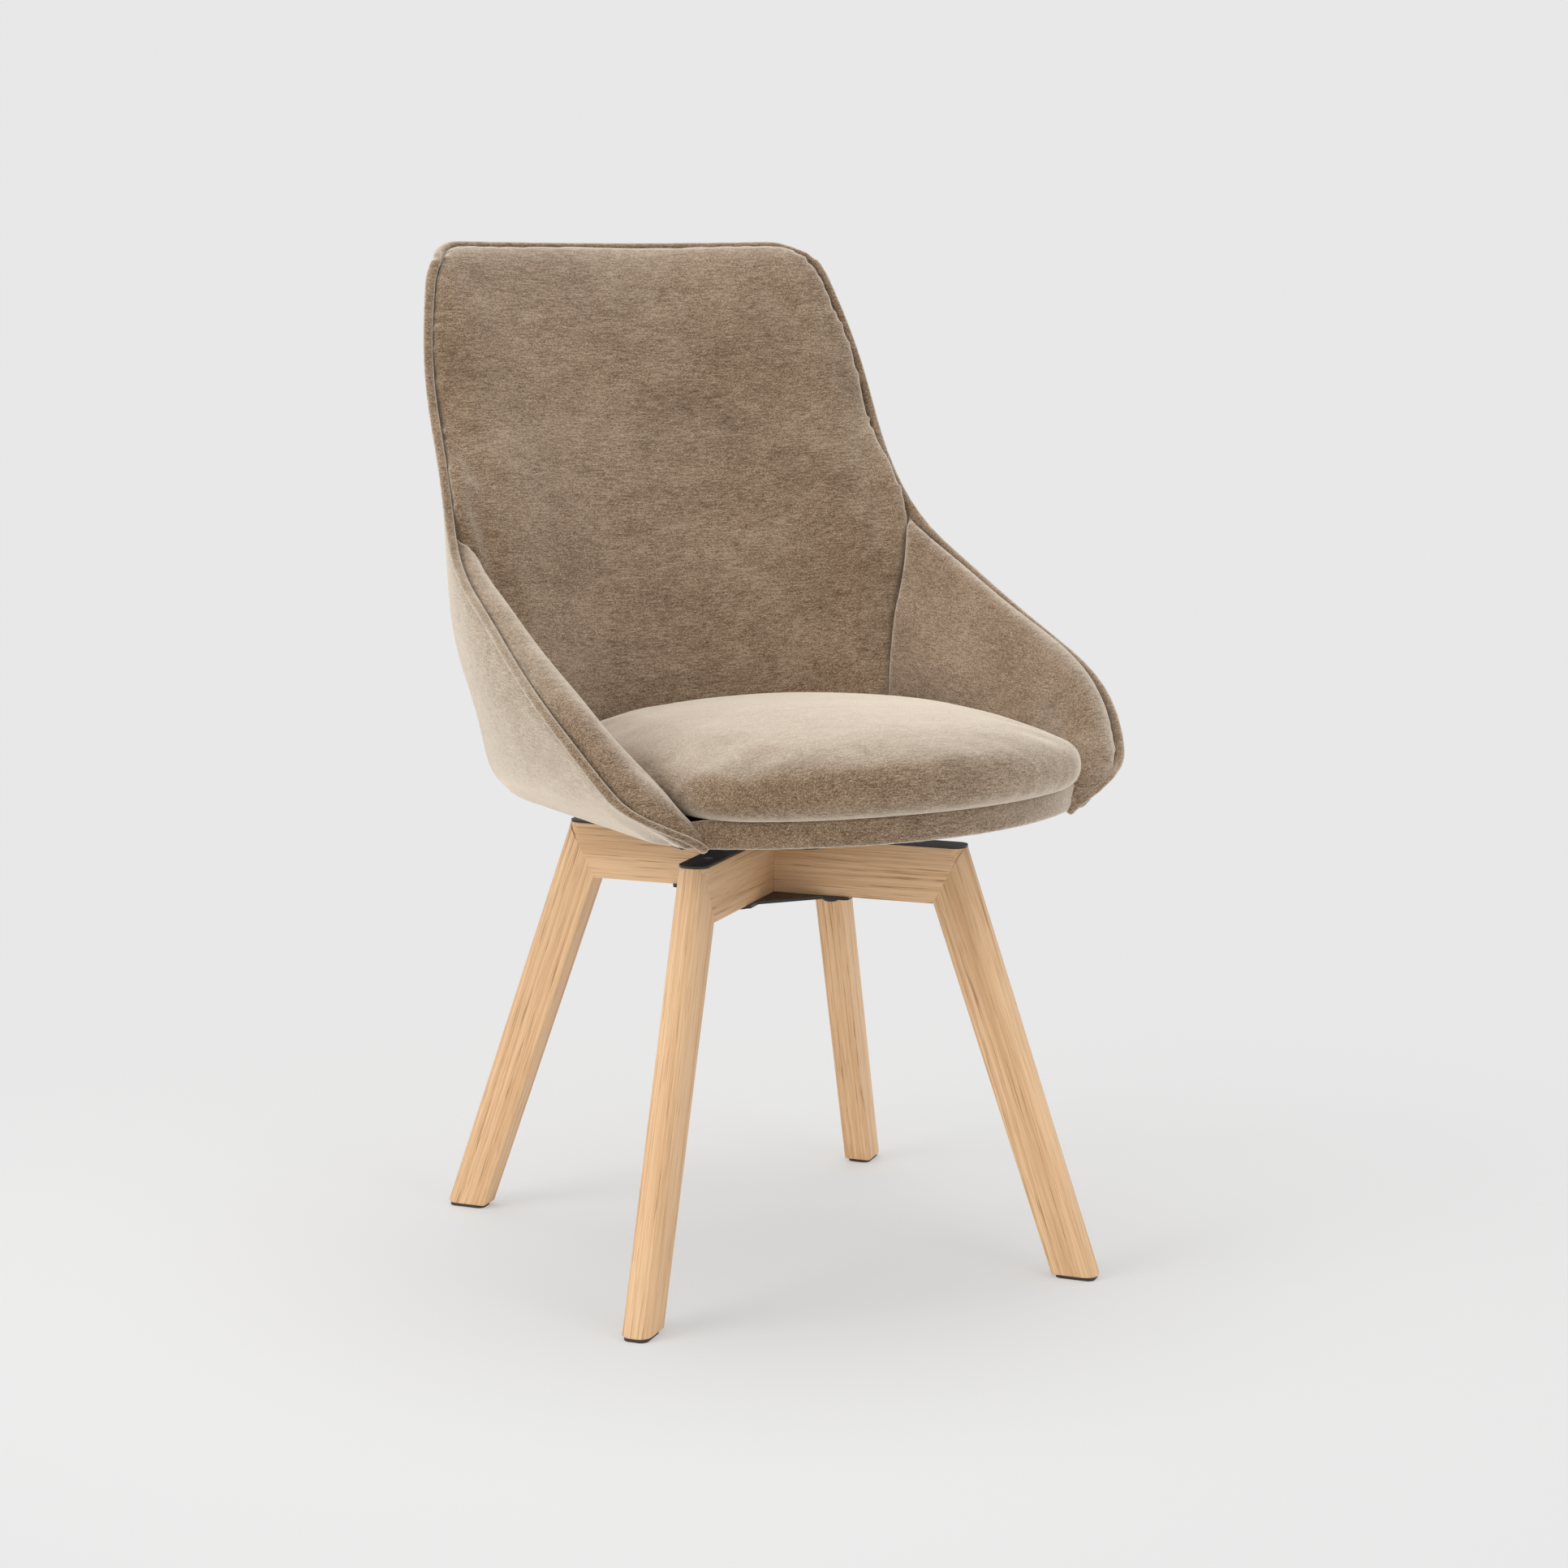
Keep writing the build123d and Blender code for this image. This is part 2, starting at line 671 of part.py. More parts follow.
# Cover: the fabric and wadding outside the moulded core.
with BuildPart() as outer_cover:
    add(outer_form.part)
    add(core_form.part, mode=Mode.SUBTRACT)
    extrude(side_cut, amount=340, both=True, mode=Mode.INTERSECT)
    extrude(front_cut, amount=400, both=True, mode=Mode.INTERSECT)
    with BuildSketch(level(hem_z)):
        Rectangle(700, 700)
    extrude(amount=600, mode=Mode.INTERSECT)
outer_cover.part.label = "outer_cover"
export_step(outer_cover.part, "parts/outer_cover.step")

# Core: the moulded bucket between the cover and the pads.
with BuildPart() as shell_core:
    add(core_form.part)
    add(inner_form.part, mode=Mode.SUBTRACT)
    extrude(side_cut, amount=340, both=True, mode=Mode.INTERSECT)
    extrude(front_cut, amount=400, both=True, mode=Mode.INTERSECT)
    with BuildSketch(level(board_bottom)):
        Rectangle(700, 700)
    extrude(amount=600, mode=Mode.INTERSECT)
shell_core.part.label = "shell_core"
export_step(shell_core.part, "parts/shell_core.step")

# ============================================================ seat front rail
rail_r = (rail_end_x**2 + rail_bow**2) / (2 * rail_bow)
rail_centre_y = rail_end_y - rail_bow + rail_r


def rail_band(bottom, inner, outer, half_width):
    """Curved band of the front rail between two insets from its face."""
    with BuildSketch(level(bottom)) as band:
        with Locations((0, rail_centre_y)):
            Circle(rail_r - outer)
            Circle(rail_r - inner, mode=Mode.SUBTRACT)
        with Locations((0, rail_end_y - 100)):
            Rectangle(2 * half_width, 200, mode=Mode.INTERSECT)
    return band.sketch


with BuildPart() as front_rail:
    extrude(rail_band(hem_z, rail_thickness, 0, rail_end_x), amount=cushion_bottom - 0.3 - hem_z)
    front_edges = front_rail.faces().filter_by(GeomType.CYLINDER).sort_by(Axis.Y)[0].edges()
    fillet(front_edges.filter_by(GeomType.CIRCLE), radius=3)
front_rail.part.label = "front_rail"
export_step(front_rail.part, "parts/front_rail.step")

with BuildPart() as rail_core:
    core_band = rail_band(board_top, rail_thickness + rail_core_width, rail_thickness, rail_end_x - 6)
    extrude(core_band, amount=foam_height - 1)
rail_core.part.label = "rail_core"
export_step(rail_core.part, "parts/rail_core.step")

# ================================================================= seat board
with BuildPart() as seat_board:
    add(inner_form.part)
    with BuildSketch(level(board_bottom)):
        Rectangle(700, 700)
    extrude(amount=board_thickness, mode=Mode.INTERSECT)
    with BuildSketch(level(board_bottom)):
        with Locations((0, rail_centre_y)):
            Circle(rail_r - rail_thickness)
        with Locations((0, 200)):
            Rectangle(700, 2 * (200 - board_front_y))
    extrude(amount=board_thickness, mode=Mode.INTERSECT)
    with BuildSketch(level(board_bottom)):
        Circle(bush_flange_r + 4)
        with GridLocations(seat_bolt_spacing, seat_bolt_spacing, 2, 2):
            Circle(tee_barrel_r + joint_gap)
    extrude(amount=board_thickness, mode=Mode.SUBTRACT)
    with BuildSketch(level(tee_z)):
        with GridLocations(seat_bolt_spacing, seat_bolt_spacing, 2, 2):
            Circle(tee_flange_r + joint_gap)
    extrude(amount=tee_flange_height, mode=Mode.SUBTRACT)
seat_board.part.label = "seat_board"
export_step(seat_board.part, "parts/seat_board.step")

# Black cloth under the board, cut out round the swivel flange.
with BuildPart() as dust_cloth:
    add(inner_form.part)
    with BuildSketch(level(board_bottom - lining_thickness)):
        Rectangle(700, 700)
    extrude(amount=lining_thickness, mode=Mode.INTERSECT)
    with BuildSketch(level(board_bottom - lining_thickness)):
        with Locations((0, rail_centre_y)):
            Circle(rail_r - rail_thickness)
        with Locations((0, 200)):
            Rectangle(700, 2 * (200 - board_front_y))
    extrude(amount=lining_thickness, mode=Mode.INTERSECT)
    with BuildSketch(level(board_bottom - lining_thickness)):
        RectangleRounded(upper_flange_side + 4, upper_flange_side + 4, 12)
    extrude(amount=lining_thickness, mode=Mode.SUBTRACT)
dust_cloth.part.label = "dust_cloth"
export_step(dust_cloth.part, "parts/dust_cloth.step")

# =============================================================== seat cushion
# Plan: bowed front, rounded front corners, sides that close in to the back.
# Arcs by start, middle and end, for the right hand; the left hand mirrors them.
cushion_centre_y = -77.0
cushion_half = 180.0
cushion_front = -257.0
cushion_rear = 101.5
cushion_side_front = (187, -160)
cushion_corner = (150, -223)
cushion_side_rear = (161, 53)
cushion_rear_corner = (145, 74)
cushion_side_arcs = (
    (cushion_side_front, (178, -199), cushion_corner),
    (cushion_side_rear, (182, -50), cushion_side_front),
    (cushion_side_rear, (156, 66), cushion_rear_corner),
)
# The side of the cushion in section: height above its underside, inset.
cushion_profile = (
    (0, 12),
    (3, 5),
    (9, 1),
    (17, 0),
    (28, 1),
    (38, 5),
    (47, 13),
    (54, 27),
    (58, 48),
)


def cushion_plan(z, inset):
    """Plan of the cushion at a height, drawn in by the inset."""
    share = 1 - inset / cushion_half

    def drawn_in(x, y):
        return x * share, cushion_centre_y + (y - cushion_centre_y) * share

    with BuildSketch(level(z)) as plan:
        with BuildLine():
            for hand in (1, -1):
                for arc in cushion_side_arcs:
                    ThreePointArc(*[drawn_in(hand * x, y) for x, y in arc])
            corner_x, corner_y = cushion_corner
            ThreePointArc(
                drawn_in(-corner_x, corner_y),
                drawn_in(0, cushion_front),
                drawn_in(corner_x, corner_y),
            )
            corner_x, corner_y = cushion_rear_corner
            ThreePointArc(
                drawn_in(-corner_x, corner_y),
                drawn_in(0, cushion_rear),
                drawn_in(corner_x, corner_y),
            )
        make_face()
    return plan.sketch


with BuildPart() as seat_cushion:
    loft([cushion_plan(cushion_bottom + height, inset) for height, inset in cushion_profile])
    with Locations((0, cushion_centre_y, cushion_bottom + cushion_height - cushion_crown_r)):
        Sphere(cushion_crown_r, mode=Mode.INTERSECT)
seat_cushion.part.label = "seat_cushion"
export_step(seat_cushion.part, "parts/seat_cushion.step")

with BuildPart() as seat_foam:
    extrude(cushion_plan(board_top, foam_inset), amount=foam_height)
seat_foam.part.label = "seat_foam"
export_step(seat_foam.part, "parts/seat_foam.step")

# ================================================================== back pad
# The seam between back and arm pads lies in an upright plane on each side.
split_foot = (172, 72)
split_turn = 41.7
split_gap = 0.3


def split_region(hand, front):
    """Plan region before or behind the seam plane of one side."""
    reach = 500
    turn = radians(split_turn)
    side = -1 if front else 1
    shift = -split_gap / 2 * side
    with BuildSketch(level(board_bottom)) as region:
        with BuildLine():
            x, y = split_foot[0] - shift * sin(turn), split_foot[1] + shift * cos(turn)
            inner = (x - 150 * cos(turn), y - 150 * sin(turn))
            outer = (x + 300 * cos(turn), y + 300 * sin(turn))
            points = [
                inner,
                outer,
                (outer[0] - side * reach * sin(turn), outer[1] + side * reach * cos(turn)),
                (inner[0] - side * reach * sin(turn), inner[1] + side * reach * cos(turn)),
            ]
            Polyline(*[(hand * px, py) for px, py in points], close=True)
        make_face()
    return region.sketch


# Horizontal stations of the back pad: height, seam point, start of the broad
# face, and the middle of the face.
back_stations = (
    (board_top + 0.3, (178, 84), (162, 78), 110),
    (452, (178, 79), (162, 73), 106),
    (500, (196, 94), (181, 89), 114),
    (560, (217, 113), (200, 109), 131),
    (620, (232, 128), (211, 125), 153),
    (680, (224, 163), (203, 158), 177),
    (740, (216, 185), (195, 181), 201),
    (790, (208, 202), (188, 199), 221),
    (825, (198, 214), (176, 212), 238),
    (838, (192, 220), (172, 220), 246),
    (848.5, (186, 233), (168, 236), 260),
)
with BuildPart() as back_pad:
    back_sections = []
    for height, seam, face, middle in back_stations:
        with BuildSketch(level(height)) as section:
            with BuildLine():
                for hand in (1, -1):
                    bulge = ((seam[0] + face[0]) / 2 + 1, (seam[1] + face[1]) / 2 - 3)
                    Polyline((0, 360), (hand * 320, 360), (hand * 320, seam[1] + 90), (hand * seam[0], seam[1]))
                    ThreePointArc(
                        (hand * seam[0], seam[1]),
                        (hand * bulge[0], bulge[1]),
                        (hand * face[0], face[1]),
                    )
                ThreePointArc((-face[0], face[1]), (0, middle), (face[0], face[1]))
            make_face()
        back_sections.append(section.sketch)
    loft(back_sections)
    add(inner_form.part, mode=Mode.INTERSECT)
    extrude(rim_front_profile(0.5, 0), amount=400, both=True, mode=Mode.INTERSECT)
    for hand in (1, -1):
        extrude(split_region(hand, True), amount=600, mode=Mode.SUBTRACT)
back_pad.part.label = "back_pad"
export_step(back_pad.part, "parts/back_pad.step")

# ================================================================== arm pads
# Upright cross-sections of an arm pad, front to rear: y, rim height, crown
# height over the rim, inner face x at the foot.
arm_stations = (
    (-180, 408, 4, 187),
    (-172, 420, 8, 188),
    (-150, 447, 12, 189),
    (-102, 483, 15, 189),
    (-42, 514, 13, 187),
    (22, 546, 11, 182),
    (80, 577, 8, 174),
    (112, 600, 5, 176),
    (140, 634, 2, 182),
)


for pad_hand, pad_name in ((1, "arm_pad_right"), (-1, "arm_pad_left")):
    with BuildPart() as arm_pad:
        arm_sections = []
        for y, rim_z, crown, foot_x in arm_stations:
            wall_x = wall_half_width(inner_form.part, y, rim_z)
            foot_z = board_top + soft_gap
            knee_z = min(foot_z + 0.5 * (rim_z - foot_z), 458)
            width = wall_x - foot_x
            crown_x = wall_x - min(0.4 * width, 20)
            with BuildSketch(Plane.XZ.offset(-y)) as section:
                with BuildLine():
                    Polyline(
                        (pad_hand * wall_x, rim_z),
                        (pad_hand * (wall_x + 60), rim_z),
                        (pad_hand * (wall_x + 60), foot_z),
                        (pad_hand * foot_x, foot_z),
                        (pad_hand * (foot_x + 1), knee_z),
                    )
                    ThreePointArc(
                        (pad_hand * wall_x, rim_z),
                        (pad_hand * (wall_x - 0.3 * (wall_x - crown_x)), rim_z + 0.8 * crown),
                        (pad_hand * crown_x, rim_z + crown),
                    )
                    mid_x = (crown_x + foot_x + 1) / 2 - 0.06 * width
                    ThreePointArc(
                        (pad_hand * crown_x, rim_z + crown),
                        (pad_hand * mid_x, (rim_z + crown + knee_z) / 2 + 0.1 * width),
                        (pad_hand * (foot_x + 1), knee_z),
                    )
                make_face()
            arm_sections.append(section.sketch)
        loft(arm_sections)
        add(inner_form.part, mode=Mode.INTERSECT)
        extrude(split_region(pad_hand, False), amount=600, mode=Mode.SUBTRACT)
    arm_pad.part.label = pad_name
    export_step(arm_pad.part, "parts/" + pad_name + ".step")

# ==================================================================== piping
def corner_limit(z):
    """Half width of the back's rounded top corner at a height."""
    rise = z - back_top + back_corner_r
    return back_corner_x + sqrt(back_corner_r**2 - rise**2) if rise > 0 else bucket_reach


# The cord follows the rim: up the arm, round the top corner, across the back.
with BuildPart() as cord_form:
    loft(bucket_sections(cord_inset))
corner_foot = back_top - back_corner_r
corner_samples = 5
arm_bend_top = 440.0          # the cord bends tightly up to here
cord_points = []
for sample in range(2 * rim_samples + 1):
    at = rim_line.position_at(sample / (2 * rim_samples))
    close = sample % 2 == 0 or at.Z < arm_bend_top or at.Z > corner_foot
    if at.Z < back_top and close:
        half_x = wall_half_width(cord_form.part, at.Y, max(at.Z, hem_z))
        if half_x < corner_limit(at.Z):
            cord_points.append((half_x, at.Y, at.Z))
corner_start = degrees(acos((cord_points[-1][0] - back_corner_x) / back_corner_r))
for step in range(1, corner_samples + 1):
    turn = radians(corner_start + (90 - corner_start) * step / corner_samples)
    corner_x = back_corner_x + back_corner_r * cos(turn)
    corner_z = corner_foot + back_corner_r * sin(turn)
    cord_points.append((corner_x, wall_depth(cord_form.part, corner_x, corner_z), corner_z))
for x in (120, 60):
    cord_points.append((x, wall_depth(cord_form.part, x, back_top), back_top))
cord_path_points = cord_points + [(0, wall_depth(cord_form.part, 0, back_top), back_top)]
cord_path_points += [(-x, y, z) for x, y, z in reversed(cord_points)]
cord_path = Spline(*cord_path_points)

with BuildPart() as piping:
    cord_sections = []
    for point in cord_path_points:
        at = cord_path.param_at_point(point)
        along = cord_path.tangent_at(at)
        outward = Vector(point[0], point[1] + 60, 0)
        with BuildSketch(Plane(origin=point, x_dir=along.cross(outward), z_dir=along)) as section:
            Circle(cord_r)
        cord_sections.append(section.sketch)
    loft(cord_sections, ruled=True)
piping.part.label = "piping"
export_step(piping.part, "parts/piping.step")
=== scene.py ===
from math import cos, pi, radians, sin

import bmesh
import bpy
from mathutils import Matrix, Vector, noise
from mathutils.bvhtree import BVHTree


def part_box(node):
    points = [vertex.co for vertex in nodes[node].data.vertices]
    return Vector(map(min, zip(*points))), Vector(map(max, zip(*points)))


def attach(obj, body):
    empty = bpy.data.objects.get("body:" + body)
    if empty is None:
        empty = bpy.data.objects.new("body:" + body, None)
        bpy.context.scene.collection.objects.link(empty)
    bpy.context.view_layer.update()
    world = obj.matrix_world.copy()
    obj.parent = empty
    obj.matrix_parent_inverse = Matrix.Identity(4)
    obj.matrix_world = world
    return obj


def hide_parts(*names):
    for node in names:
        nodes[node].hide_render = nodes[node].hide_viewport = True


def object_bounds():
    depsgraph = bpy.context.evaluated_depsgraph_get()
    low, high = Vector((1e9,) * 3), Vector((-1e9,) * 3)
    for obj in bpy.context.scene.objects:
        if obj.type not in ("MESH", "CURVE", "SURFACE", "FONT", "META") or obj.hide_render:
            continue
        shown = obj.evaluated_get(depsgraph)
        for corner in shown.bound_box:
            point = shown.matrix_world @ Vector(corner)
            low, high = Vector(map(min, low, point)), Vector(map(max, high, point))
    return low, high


# A swivel dining chair on a pale studio floor: upholstered bucket seat, oak cross base.
# Metres; the seat faces -Y and turns on the z axis.
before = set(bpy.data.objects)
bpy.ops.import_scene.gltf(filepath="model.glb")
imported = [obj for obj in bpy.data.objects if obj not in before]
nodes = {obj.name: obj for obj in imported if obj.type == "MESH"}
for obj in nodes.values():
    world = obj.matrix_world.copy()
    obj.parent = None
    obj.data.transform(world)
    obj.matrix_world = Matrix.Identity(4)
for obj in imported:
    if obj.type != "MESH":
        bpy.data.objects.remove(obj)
cad_low, cad_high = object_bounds()
scene = bpy.context.scene

# ------------------------------------------------------------------ camera
photo_width = 1932.0
focal_px = 3996.7
principal_px = (778.0, 1044.0)
camera_place = (-1.462, -2.279, 0.837)
camera_turn = (radians(79.69), 0.0, radians(-30.28))
sensor_width = 36.0

camera_data = bpy.data.cameras.new("chair_camera")
camera_data.sensor_width = sensor_width
camera_data.lens = focal_px / photo_width * sensor_width
camera_data.shift_x = 0.5 - principal_px[0] / photo_width
camera_data.shift_y = principal_px[1] / photo_width - 0.5
camera_data.clip_end = 60.0
camera = bpy.data.objects.new("chair_camera", camera_data)
camera.location = camera_place
camera.rotation_euler = camera_turn
scene.collection.objects.link(camera)
scene.camera = camera
scene.view_settings.view_transform = "Standard"


# --------------------------------------------------------- shader arithmetic
def feed(tree, item, socket):
    """Links a value into a socket, or sets the socket to a constant."""
    if isinstance(item, Value):
        tree.links.new(item.socket, socket)
    else:
        socket.default_value = item


class Value:
    """One output in a material's tree; arithmetic on it adds Math nodes."""

    def __init__(self, tree, socket):
        self.tree = tree
        self.socket = socket

    def math(self, operation, *others):
        made = self.tree.nodes.new("ShaderNodeMath")
        made.operation = operation
        for item, socket in zip((self, *others), made.inputs):
            feed(self.tree, item, socket)
        return Value(self.tree, made.outputs[0])

    def __add__(self, other):
        return self.math("ADD", other)

    __radd__ = __add__

    def __mul__(self, other):
        return self.math("MULTIPLY", other)

    __rmul__ = __mul__

    def __sub__(self, other):
        return self.math("SUBTRACT", other)

    def __rsub__(self, other):
        return self * -1 + other

    def __pow__(self, other):
        return self.math("POWER", other)


class Paint:
    """A material under construction."""

    def __init__(self, name):
        self.material = bpy.data.materials.new(name)
        self.material.use_nodes = True
        self.tree = self.material.node_tree
        self.shader = self.tree.nodes["Principled BSDF"]

    def node(self, kind, output, settings, inputs):
        """Adds a node; inputs maps a socket's name or place to a constant or a value."""
        made = self.tree.nodes.new(kind)
        for key, setting in settings.items():
            setattr(made, key, setting)
        for key, item in inputs.items():
            feed(self.tree, item, made.inputs[key])
        return Value(self.tree, made.outputs[output])

    def place(self):
        return self.node("ShaderNodeTexCoord", "Object", {}, {})

    def facing(self):
        """The surface's normal in the piece's own frame."""
        return self.node("ShaderNodeTexCoord", "Normal", {}, {})

    def along(self, vector, direction):
        """Length of a vector along a direction."""
        return self.node("ShaderNodeVectorMath", "Value", {"operation": "DOT_PRODUCT"},
                         {0: vector, 1: direction})

    def joined(self, x, y, z):
        return self.node("ShaderNodeCombineXYZ", 0, {}, {0: x, 1: y, 2: z})

    def noise(self, vector, scale, detail=2.0, roughness=0.5):
        return self.node("ShaderNodeTexNoise", 0, {},
                         {"Vector": vector, "Scale": scale, "Detail": detail, "Roughness": roughness})

    def stretched(self, vector, scales):
        return self.node("ShaderNodeVectorMath", 0, {"operation": "MULTIPLY"}, {0: vector, 1: scales})

    def mixed(self, share, first, second):
        """Colour between two colours; share is a value or a number."""
        return self.node("ShaderNodeMix", 2, {"data_type": "RGBA"}, {0: share, 6: first, 7: second})

    def grazing(self, blend):
        """How edge-on the surface is seen, for the pile's sheen painted into the base colour."""
        return self.node("ShaderNodeLayerWeight", "Facing", {}, {"Blend": blend})

    def ramp(self, value, low, high):
        """The value's place between two limits, from 0 to 1."""
        return self.node("ShaderNodeMapRange", 0, {"interpolation_type": "SMOOTHSTEP"},
                         {0: value, 1: low, 2: high, 3: 0.0, 4: 1.0})

    def bump(self, height, strength, distance):
        return self.node("ShaderNodeBump", 0, {},
                         {"Strength": strength, "Distance": distance, "Height": height})

    def finish(self, **inputs):
        for key, item in inputs.items():
            feed(self.tree, item, self.shader.inputs[key.replace("_", " ")])
        return self.material


# ------------------------------------------------------------------ fabric
yarn_dark = (0.112, 0.070, 0.041, 1.0)
yarn_mid = (0.250, 0.168, 0.106, 1.0)
yarn_light = (0.450, 0.345, 0.245, 1.0)
# Pale colour painted on where the pile is seen edge-on: painted sheen.
painted_sheen_colour = (0.800, 0.710, 0.600, 1.0)
pile_tint = (1.0, 0.87, 0.73, 1.0)
# Scales of the weave's noises along x, y and z, per metre, where the weft runs along x.
streak_scales = (85.0, 640.0, 700.0)
fibre_scales = (480.0, 1900.0, 1900.0)
cloud_scales = (9.0, 14.0, 16.0)
patch_scales = (34.0, 62.0, 80.0)
fuzz_scale = 1300.0
side_normal = (0.62, 0.80)  # x of the normal: below the first no arm's side, above the second all


def fabric(name, tone):
    """Short-pile weave: fine weft streaks along the width, mottled warmer and greyer, with painted sheen
    that makes it paler where it is seen edge-on.
    """
    paint = Paint(name)
    place = paint.place()
    facing = paint.facing()
    sideways = paint.along(facing, (1.0, 0.0, 0.0)).math("ABSOLUTE")
    on_side = paint.ramp(sideways, *side_normal)

    def weft(scales, detail, roughness):
        """Noise drawn out along x on the seat and back, and along y on the arms' sides."""
        turned = (scales[1], scales[0], scales[2])
        wide = paint.noise(paint.stretched(place, scales), 1.0, detail, roughness)
        deep = paint.noise(paint.stretched(place, turned), 1.0, detail, roughness)
        return wide * (1.0 - on_side) + deep * on_side

    streak = weft(streak_scales, detail=3.0, roughness=0.7)
    fine = weft(fibre_scales, detail=1.0, roughness=0.5)
    fuzz = paint.noise(place, fuzz_scale, detail=1.0, roughness=0.6)
    cloud = paint.noise(paint.stretched(place, cloud_scales), 1.0, detail=4.0, roughness=0.6)
    patch = paint.noise(paint.stretched(place, patch_scales), 1.0, detail=4.0, roughness=0.65)
    level = (
        (streak - 0.5) * 1.8 + (fine - 0.5) * 2.0 + (fuzz - 0.5) * 1.9
        + (cloud - 0.5) * 0.9 + (patch - 0.5) * 0.6 + tone
    )
    base = paint.mixed(paint.ramp(level, -0.15, 0.6), yarn_dark, yarn_mid)
    pile = paint.mixed(paint.ramp(level, 0.4, 1.25), base, yarn_light)
    # Painted sheen: the colour pales towards the sheen colour where the surface is seen edge-on.
    painted_sheen = paint.grazing(0.5) ** 2.0
    colour = paint.mixed(painted_sheen * (0.75 + level * 0.6), pile, painted_sheen_colour)
    relief = streak * 0.5 + fine * 0.6 + fuzz * 0.8
    return paint.finish(
        Base_Color=colour,
        Roughness=0.95,
        Sheen_Weight=1.0,
        Sheen_Roughness=0.36,
        Sheen_Tint=pile_tint,
        Specular_IOR_Level=0.06,
        Normal=paint.bump(relief, strength=0.5, distance=0.0008),
    )


cloth_main = fabric("seat_fabric", tone=0.50)
# A darker copy of the seat fabric: painted shade for the front rail and for the board and cores under the
# seat.
shaded_cloth = fabric("rail_fabric_painted_shade", tone=0.42)


# -------------------------------------------------------------------- wood
oak_light = (0.880, 0.590, 0.345, 1.0)
oak_dark = (0.640, 0.370, 0.180, 1.0)
oak_pore = (0.300, 0.160, 0.075, 1.0)
late_edge = (0.50, 0.66)    # ring noise between early and late wood
pore_edge = (0.55, 0.68)
off_grain = Vector((0.3, 0.2, 0.93))        # a direction that no board's grain takes


def oak(name, grain, seed):
    """Straight-grained oak whose grain runs along the given direction."""
    paint = Paint(name)
    grain = Vector(grain).normalized()
    across = grain.cross(off_grain).normalized()
    deep = grain.cross(across)
    place = paint.place()
    u = paint.along(place, grain)
    v = paint.along(place, across) + seed
    w = paint.along(place, deep)
    bent = paint.noise(paint.joined(u * 2.2, v * 8.0, w * 8.0), 1.0, 1.0)
    ring = paint.noise(paint.joined(u * 1.1, v * 420.0 + bent * 5.0, w * 240.0), 1.0, 2.0, 0.55)
    band = paint.noise(paint.joined(u * 1.5, v * 80.0 + bent * 1.6, w * 45.0), 1.0, 2.0, 0.5)
    fibre = paint.noise(paint.joined(u * 9.0, v * 760.0, w * 760.0), 1.0, 3.0, 0.65)
    fleck = paint.noise(paint.joined(u * 26.0, v * 1000.0, w * 1000.0), 1.0, 1.0)
    pores = paint.ramp(fleck, *pore_edge)
    tint = paint.noise(paint.joined(u * 5.0, v * 20.0, w * 20.0), 1.0, 1.0)
    late = paint.ramp(ring, *late_edge)
    level = paint.ramp((band - 0.5) * 1.1 + (fibre - 0.5) * 1.1 + (tint - 0.5) * 0.5 + 0.62, 0.1, 0.9)
    wood = paint.mixed(late * 0.6, paint.mixed(level, oak_dark, oak_light), oak_dark)
    colour = paint.mixed(pores * (0.25 + late * 0.5), wood, oak_pore)
    normal = paint.bump(fibre * 0.6 - pores * 0.6, strength=0.25, distance=0.0004)
    return paint.finish(
        Base_Color=colour,
        Roughness=0.40 + fibre * 0.16,
        Specular_IOR_Level=0.35,
        Normal=normal,
    )


mottle_scale = 60.0
grit_scale = 900.0
gloss_spread = 0.12


def plain(name, colour, roughness, metallic, speckle):
    """Painted, plated or moulded surface with a faint variation."""
    paint = Paint(name)
    place = paint.place()
    cloud = paint.noise(place, mottle_scale, 3.0)
    grit = paint.noise(place, grit_scale, 2.0)
    darker = tuple(channel * (1 - speckle) for channel in colour) + (1.0,)
    lighter = tuple(min(1.0, channel * (1 + speckle)) for channel in colour) + (1.0,)
    return paint.finish(
        Base_Color=paint.mixed(cloud, darker, lighter),
        Roughness=roughness - gloss_spread / 2 + cloud * gloss_spread,
        Metallic=metallic,
        Normal=paint.bump(grit, strength=0.12, distance=0.0002),
    )


black_steel = plain("black_steel", (0.018, 0.017, 0.018), roughness=0.42, metallic=0.0, speckle=0.3)
plate_paint = plain("plate_paint", (0.030, 0.020, 0.013), roughness=0.36, metallic=0.0, speckle=0.3)
zinc = plain("zinc_steel", (0.55, 0.56, 0.56), roughness=0.35, metallic=1.0, speckle=0.1)
glide_plastic = plain("glide_plastic", (0.05, 0.04, 0.035), roughness=0.5, metallic=0.0, speckle=0.2)
pale_plastic = plain("cage_plastic", (0.70, 0.68, 0.62), roughness=0.5, metallic=0.0, speckle=0.05)
beech = plain("beech", (0.52, 0.38, 0.24), roughness=0.6, metallic=0.0, speckle=0.12)
foam_paint = plain("foam", (0.70, 0.64, 0.46), roughness=0.9, metallic=0.0, speckle=0.08)
dust_black = plain("dust_cloth", (0.02, 0.02, 0.02), roughness=0.9, metallic=0.0, speckle=0.3)


def coat(names, material):
    """Gives CAD pieces a finish."""
    for name in names:
        data = nodes[name].data
        data.materials.clear()
        data.materials.append(material)


